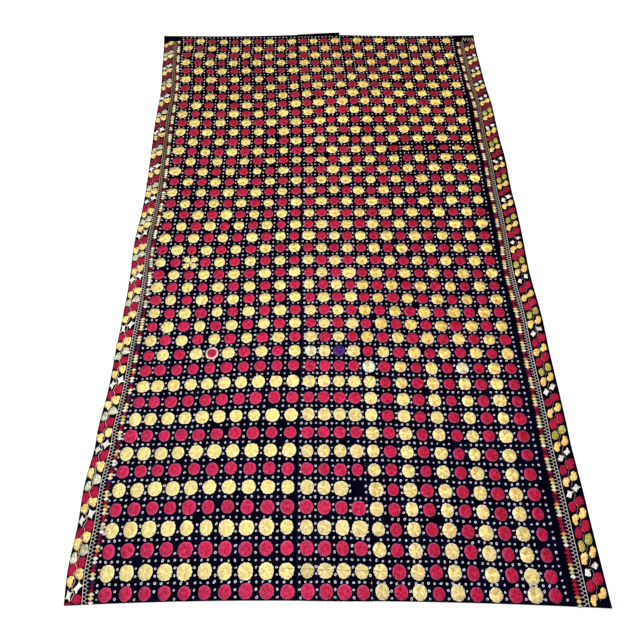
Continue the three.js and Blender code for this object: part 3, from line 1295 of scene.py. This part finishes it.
def add_buds(settings, border, buds, random):
    """Pairs of buds in the border's own run of colours, each trimmed at the cloth's near end."""
    near, far = reach_of(settings, border)
    for number in range(border.stations[-1].number + 1):
        inner = float(bud_along(border, number))
        half = settings.border.bud_half_length / MM * random.normal(1, 0.05)
        for inward, along in ((border.inner_bud, inner), (border.outer_bud, inner + border.outer_shift)):
            along = along + random.normal(0, BUD_SPREAD)
            low, high = max(along - half, near + NEAR_MARGIN), min(along + half, far + BUD_OVERRUN)
            if high - low > SHORTEST_BUD:
                place = pad_place(settings, border, random, inward, (low + high) / 2)
                add_bud(settings.border, border, buds, random, place, (high - low) / 2 * MM,
                        tint_of(border.buds, number), inward == border.outer_bud)


def add_bud(sizes, border, buds, random, place, long, tint, outer):
    """One bud, whose shape goes with its colour and its border."""
    left = border is LEFT_BORDER
    wide = sizes.bud_half_width * random.normal(1, 0.05)
    if left:
        wide, long = wide * (0.81 if outer else 1.05), long * 1.04
    dye = shaded(getattr(sizes, tint), random.normal(1.0, 0.08))
    if tint == "yellow" and not left:
        dye = mixed(dye, sizes.amber, 0.5)
    # painted light and shade towards the far end
    dye = shaded(dye, 1 + (FAR_SHADES.get(tint, 1.0) - 1) * between(0.0, 0.7, place[1]))
    side = -1.0 if outer else 1.0
    looks = {"form": random.uniform(3.6, 6.0), "turn": random.normal(0, 0.05),
             "shear": random.normal(border.bud_shear, 0.06), "taper": random.normal(0, 0.1),
             "fray": 0.75 if left else 0.45}
    if tint == "red" and not left:
        looks.update(form=random.uniform(2.6, 3.6))
    elif tint == "yellow" and left:
        looks.update(form=random.uniform(2.6, 4.0), taper=random.uniform(0.1, 0.4),
                     bite=(-0.5, -0.87, random.uniform(0.1, 0.5)))
    elif tint == "yellow":
        looks.update(form=2.4, bite=(side * 0.8, -side * 0.6, random.uniform(0.45, 0.7)))
    elif tint == "white" and left:
        wide, long = wide * 1.4, long * 1.2
        looks.update(form=0.62, shear=random.normal(0.25, 0.25), turn=random.normal(0.1, 0.35), fray=0.45)
    elif tint == "white":
        wide, long = wide * random.uniform(0.95, 1.2), long * random.uniform(0.85, 1.05)
        looks.update(form=0.9, turn=random.normal(0, 0.5), wear=0.3)
    elif tint == "sage":
        long = long * 0.92
        looks.update(form=3.0, taper=random.uniform(-0.45, 0.0), bite=(-1.0, 0.3, random.uniform(0, 0.35)))
    elif tint == "olive":
        wide = wide * 0.9
        looks.update(form=2.3, bite=(-side, 0.0, random.uniform(0, 0.3)))
    buds.add(place, (wide, long, sizes.bud_height), dye, **looks)


def add_lozenges(settings, border, lozenges, random):
    """A row of small lozenges beside the lattice."""
    sizes = settings.border
    near, far = reach_of(settings, border)
    first, pitch = near + FIRST_LOZENGE, sizes.lattice_pitch / MM
    for i in range(int((far - first) / pitch) + 1):
        place = pad_place(settings, border, random, border.lozenge, first + pitch * i)
        tint = tint_of(border.lozenges, i)
        dye = mixed(getattr(sizes, tint), sizes.cream, 0.35 if tint == "yellow" else 0.0)
        dye = shaded(dye, random.normal(1.0, 0.07))
        wide = sizes.lozenge_half_width * random.normal(1, 0.08)
        lozenges.add(place, (wide, sizes.lozenge_half_length, sizes.lozenge_height), dye,
                     form=1.2, turn=random.normal(0, 0.05))


class PHULKARI_OT_border_buds(bpy.types.Operator):
    """Stitches the paired buds and the lozenges of the side borders"""
    bl_idname = "phulkari.border_buds"
    bl_label = "Border buds and lozenges"

    def execute(self, context):
        settings = context.scene.phulkari
        tree = floss_tree()
        finish = silk_finish("border_floss", False)
        for number, border in enumerate(BORDERS):
            random = np.random.default_rng(BORDER_SEED + number)
            buds, lozenges = Pads(BUD_SEED + number), Pads(LOZENGE_SEED + number)
            add_buds(settings, border, buds, random)
            add_lozenges(settings, border, lozenges, random)
            panel = border.panel
            buds.make(panel.node + "_buds", tree, finish, panel, "border_silk",
                      Spokes=20, Rings=2, Ridge=0.25, Tooth=0.045, Unevenness=0.32)
            lozenges.make(panel.node + "_lozenges", tree, finish, panel, "border_silk",
                          Spokes=12, Rings=2, Ridge=0.2, Tooth=0.0, Unevenness=0.18)
        return {"FINISHED"}


def straight_line(settings, border):
    """The straight line between the buds and the lattice."""
    near, far = reach_of(settings, border)
    along = np.arange(near + NEAR_MARGIN, far, LINE_STEP)
    return laid(settings, border, np.full(len(along), border.line), along)


def lattice_lines(settings, border):
    """A zigzag beside the straight line, tied to it by bars and to the lozenges by spikes."""
    sizes = settings.border
    near, far = reach_of(settings, border)
    bar, tooth = sizes.lattice_bar / MM, sizes.lattice_tooth / MM
    first, step = near + FIRST_LOZENGE, sizes.lattice_pitch / MM / 2
    along = np.arange(first - step, far, step)
    along = along[along > near + NEAR_MARGIN]
    outward = np.round((along - first) / step) % 2 == 0
    inward = border.line + bar + np.where(outward, tooth, 0.0)
    tip = border.lozenge - sizes.lozenge_half_width / MM
    lines = [laid(settings, border, inward, along)]
    for at, reach, out in zip(along, inward, outward):
        ends = (reach, tip) if out else (border.line, reach)
        lines.append(laid(settings, border, np.array(ends), np.array([at, at])))
    return lines


def vein_line(settings, border):
    """The thin thread that winds between the outer and the inner buds."""
    near, _ = reach_of(settings, border)
    numbers = np.arange(0, border.stations[-1].number + 0.25, 0.5)
    along = bud_along(border, numbers)
    middle = (border.outer_bud + border.inner_bud) / 2
    inward = middle + np.where(numbers % 1 == 0, -VEIN_SWING, VEIN_SWING)
    kept = along > near + NEAR_MARGIN
    return laid(settings, border, inward[kept], along[kept], settings.border.bud_height * 0.5)


def end_zigzag(settings, border):
    """The zigzag that closes the far end of the right border."""
    _, far = reach_of(settings, border)
    inward = np.arange(*ZIGZAG_INWARD)
    along = far + np.where(np.arange(len(inward)) % 2, ZIGZAG_HIGH, ZIGZAG_LOW)
    return laid(settings, border, inward, along)


def laid(settings, border, inward, along, lift=0.0):
    """A line of a border's thread on the cloth."""
    lift = settings.border.thread_radius * THREAD_SEAT + lift
    return on_cloth(settings.cloth, *border_place(border, inward, along), lift)


class PHULKARI_OT_border_threads(bpy.types.Operator):
    """Stitches the cream lattice, the straight line beside it and the line between the buds"""
    bl_idname = "phulkari.border_threads"
    bl_label = "Border lattice and lines"

    def execute(self, context):
        settings = context.scene.phulkari
        sizes = settings.border
        tree = thread_tree()
        cream = thread_finish("cream_thread", sizes.thread, sizes.tan, strand_length=0.0014)
        pink = thread_finish("pink_thread", sizes.vein, shaded(sizes.vein, 0.3), strand_length=0.001)
        pale = thread_finish("pale_thread", sizes.thread, sizes.cream, strand_length=0.0014)
        for border in BORDERS:
            groups = {
                "line": ([straight_line(settings, border)], sizes.line_radius, cream),
                "lattice": (lattice_lines(settings, border), sizes.thread_radius, cream),
                "vein": ([vein_line(settings, border)], border.vein_radius * MM, pink),
            }
            if border is RIGHT_BORDER:
                groups["end"] = ([end_zigzag(settings, border)], sizes.end_radius, pale)
            for label, (lines, radius, finish) in groups.items():
                name = f"{border.panel.node}_{label}"
                sewn(name, tree, lines, radius, finish, border.panel)
        return {"FINISHED"}


def seam_stitch(cloth, across, along):
    """One slanting stitch over the seam, its ends sunk in the cloth."""
    return [on_cloth(cloth, across + STITCH_ACROSS * side, along + STITCH_ALONG * side,
                     -cloth.seam_radius * abs(side)) for side in (-1, 0, 1)]


class PHULKARI_OT_seams(bpy.types.Operator):
    """Whips the panels together with dark thread"""
    bl_idname = "phulkari.seams"
    bl_label = "Seams"

    def execute(self, context):
        cloth = context.scene.phulkari.cloth
        tree = thread_tree()
        finish = bpy.data.materials["navy_cotton"]
        for seam, ends in SEAMS.items():
            along = np.arange(*ends, SEAM_STEP)
            joining = on_cloth(cloth, side_at(seam, along), along, -cloth.seam_sink)
            stitches = [seam_stitch(cloth, side_at(seam, at), at) for at in np.arange(*ends, STITCH_STEP)]
            sewn(seam + "_stitches", tree, [joining, *stitches], cloth.seam_radius, finish, MIDDLE)
        return {"FINISHED"}


def set_camera(context, stage):
    lens = bpy.data.cameras.new("camera")
    lens.lens, lens.sensor_width, lens.sensor_fit = stage.lens, stage.sensor, "HORIZONTAL"
    lens.shift_x = stage.shift
    camera = add_object("camera", lens)
    turned = (Matrix.Rotation(stage.yaw, 4, "Z") @ Matrix.Rotation(stage.tilt, 4, "X")
              @ Matrix.Rotation(stage.roll, 4, "Z"))
    camera.matrix_world = Matrix.Translation(stage.camera_place) @ turned
    context.scene.camera = camera


def set_floor(stage):
    reach, level = stage.floor_reach, CAD_BOX[0][2] - stage.floor_drop
    corners = [(x * reach, y * reach, level) for x, y in ((-1, -1), (1, -1), (1, 1), (-1, 1))]
    mesh = bpy.data.meshes.new("floor")
    mesh.from_pydata(corners, [], [(0, 1, 2, 3)])
    mesh.materials.append(floor_finish(stage.floor))
    add_object("floor", mesh)


def set_light(context, stage):
    light = bpy.data.lights.new("softbox", "AREA")
    light.energy, light.shape, light.size = stage.softbox_watts, "SQUARE", stage.softbox_size
    softbox = add_object("softbox", light)
    softbox.location = stage.softbox_place
    world = bpy.data.worlds.new("studio")
    world.use_nodes = True
    backdrop = world.node_tree.nodes["Background"]
    backdrop.inputs["Color"].default_value = (1.0, 1.0, 1.0, 1.0)
    backdrop.inputs["Strength"].default_value = stage.sky
    context.scene.world = world
    context.scene.view_settings.view_transform = "Standard"


class PHULKARI_OT_stage(bpy.types.Operator):
    """Sets the camera, the pale floor and the soft light"""
    bl_idname = "phulkari.stage"
    bl_label = "Stage"

    def execute(self, context):
        stage = context.scene.phulkari.stage
        set_camera(context, stage)
        set_floor(stage)
        set_light(context, stage)
        return {"FINISHED"}


class PHULKARI_PT_sidebar(bpy.types.Panel):
    """Lists the settings and the pieces"""
    bl_idname = "PHULKARI_PT_sidebar"
    bl_label = "Phulkari"
    bl_space_type = "VIEW_3D"
    bl_region_type = "UI"
    bl_category = "Phulkari"

    def draw(self, context):
        for operator in OPERATORS:
            self.layout.operator(operator.bl_idname)
        settings = context.scene.phulkari
        for group in (settings.cloth, settings.discs, settings.eyelets, settings.border, settings.stage):
            box = self.layout.box()
            for name in group.bl_rna.properties.keys():
                if name not in ("rna_type", "name"):
                    box.prop(group, name)


OPERATORS = (
    PHULKARI_OT_cloth,
    PHULKARI_OT_discs,
    PHULKARI_OT_eyelets,
    PHULKARI_OT_border_buds,
    PHULKARI_OT_border_threads,
    PHULKARI_OT_seams,
    PHULKARI_OT_stage,
)
CLASSES = (ClothSettings, DiscSettings, EyeletSettings, BorderSettings, StageSettings, PhulkariSettings,
           *OPERATORS, PHULKARI_PT_sidebar)


def register():
    for entry in CLASSES:
        bpy.utils.register_class(entry)
    bpy.types.Scene.phulkari = PointerProperty(type=PhulkariSettings)


def unregister():
    del bpy.types.Scene.phulkari
    for entry in reversed(CLASSES):
        bpy.utils.unregister_class(entry)


def declare_sheets():
    """Works out each panel's width."""
    for panel in PANELS:
        wide = width_of(panel) * MM


def main():
    register()
    bpy.ops.phulkari.cloth()
    bpy.ops.phulkari.discs()
    bpy.ops.phulkari.eyelets()
    bpy.ops.phulkari.border_buds()
    bpy.ops.phulkari.border_threads()
    bpy.ops.phulkari.seams()
    bpy.ops.phulkari.stage()
    declare_sheets()


if __name__ == "__main__":
    main()
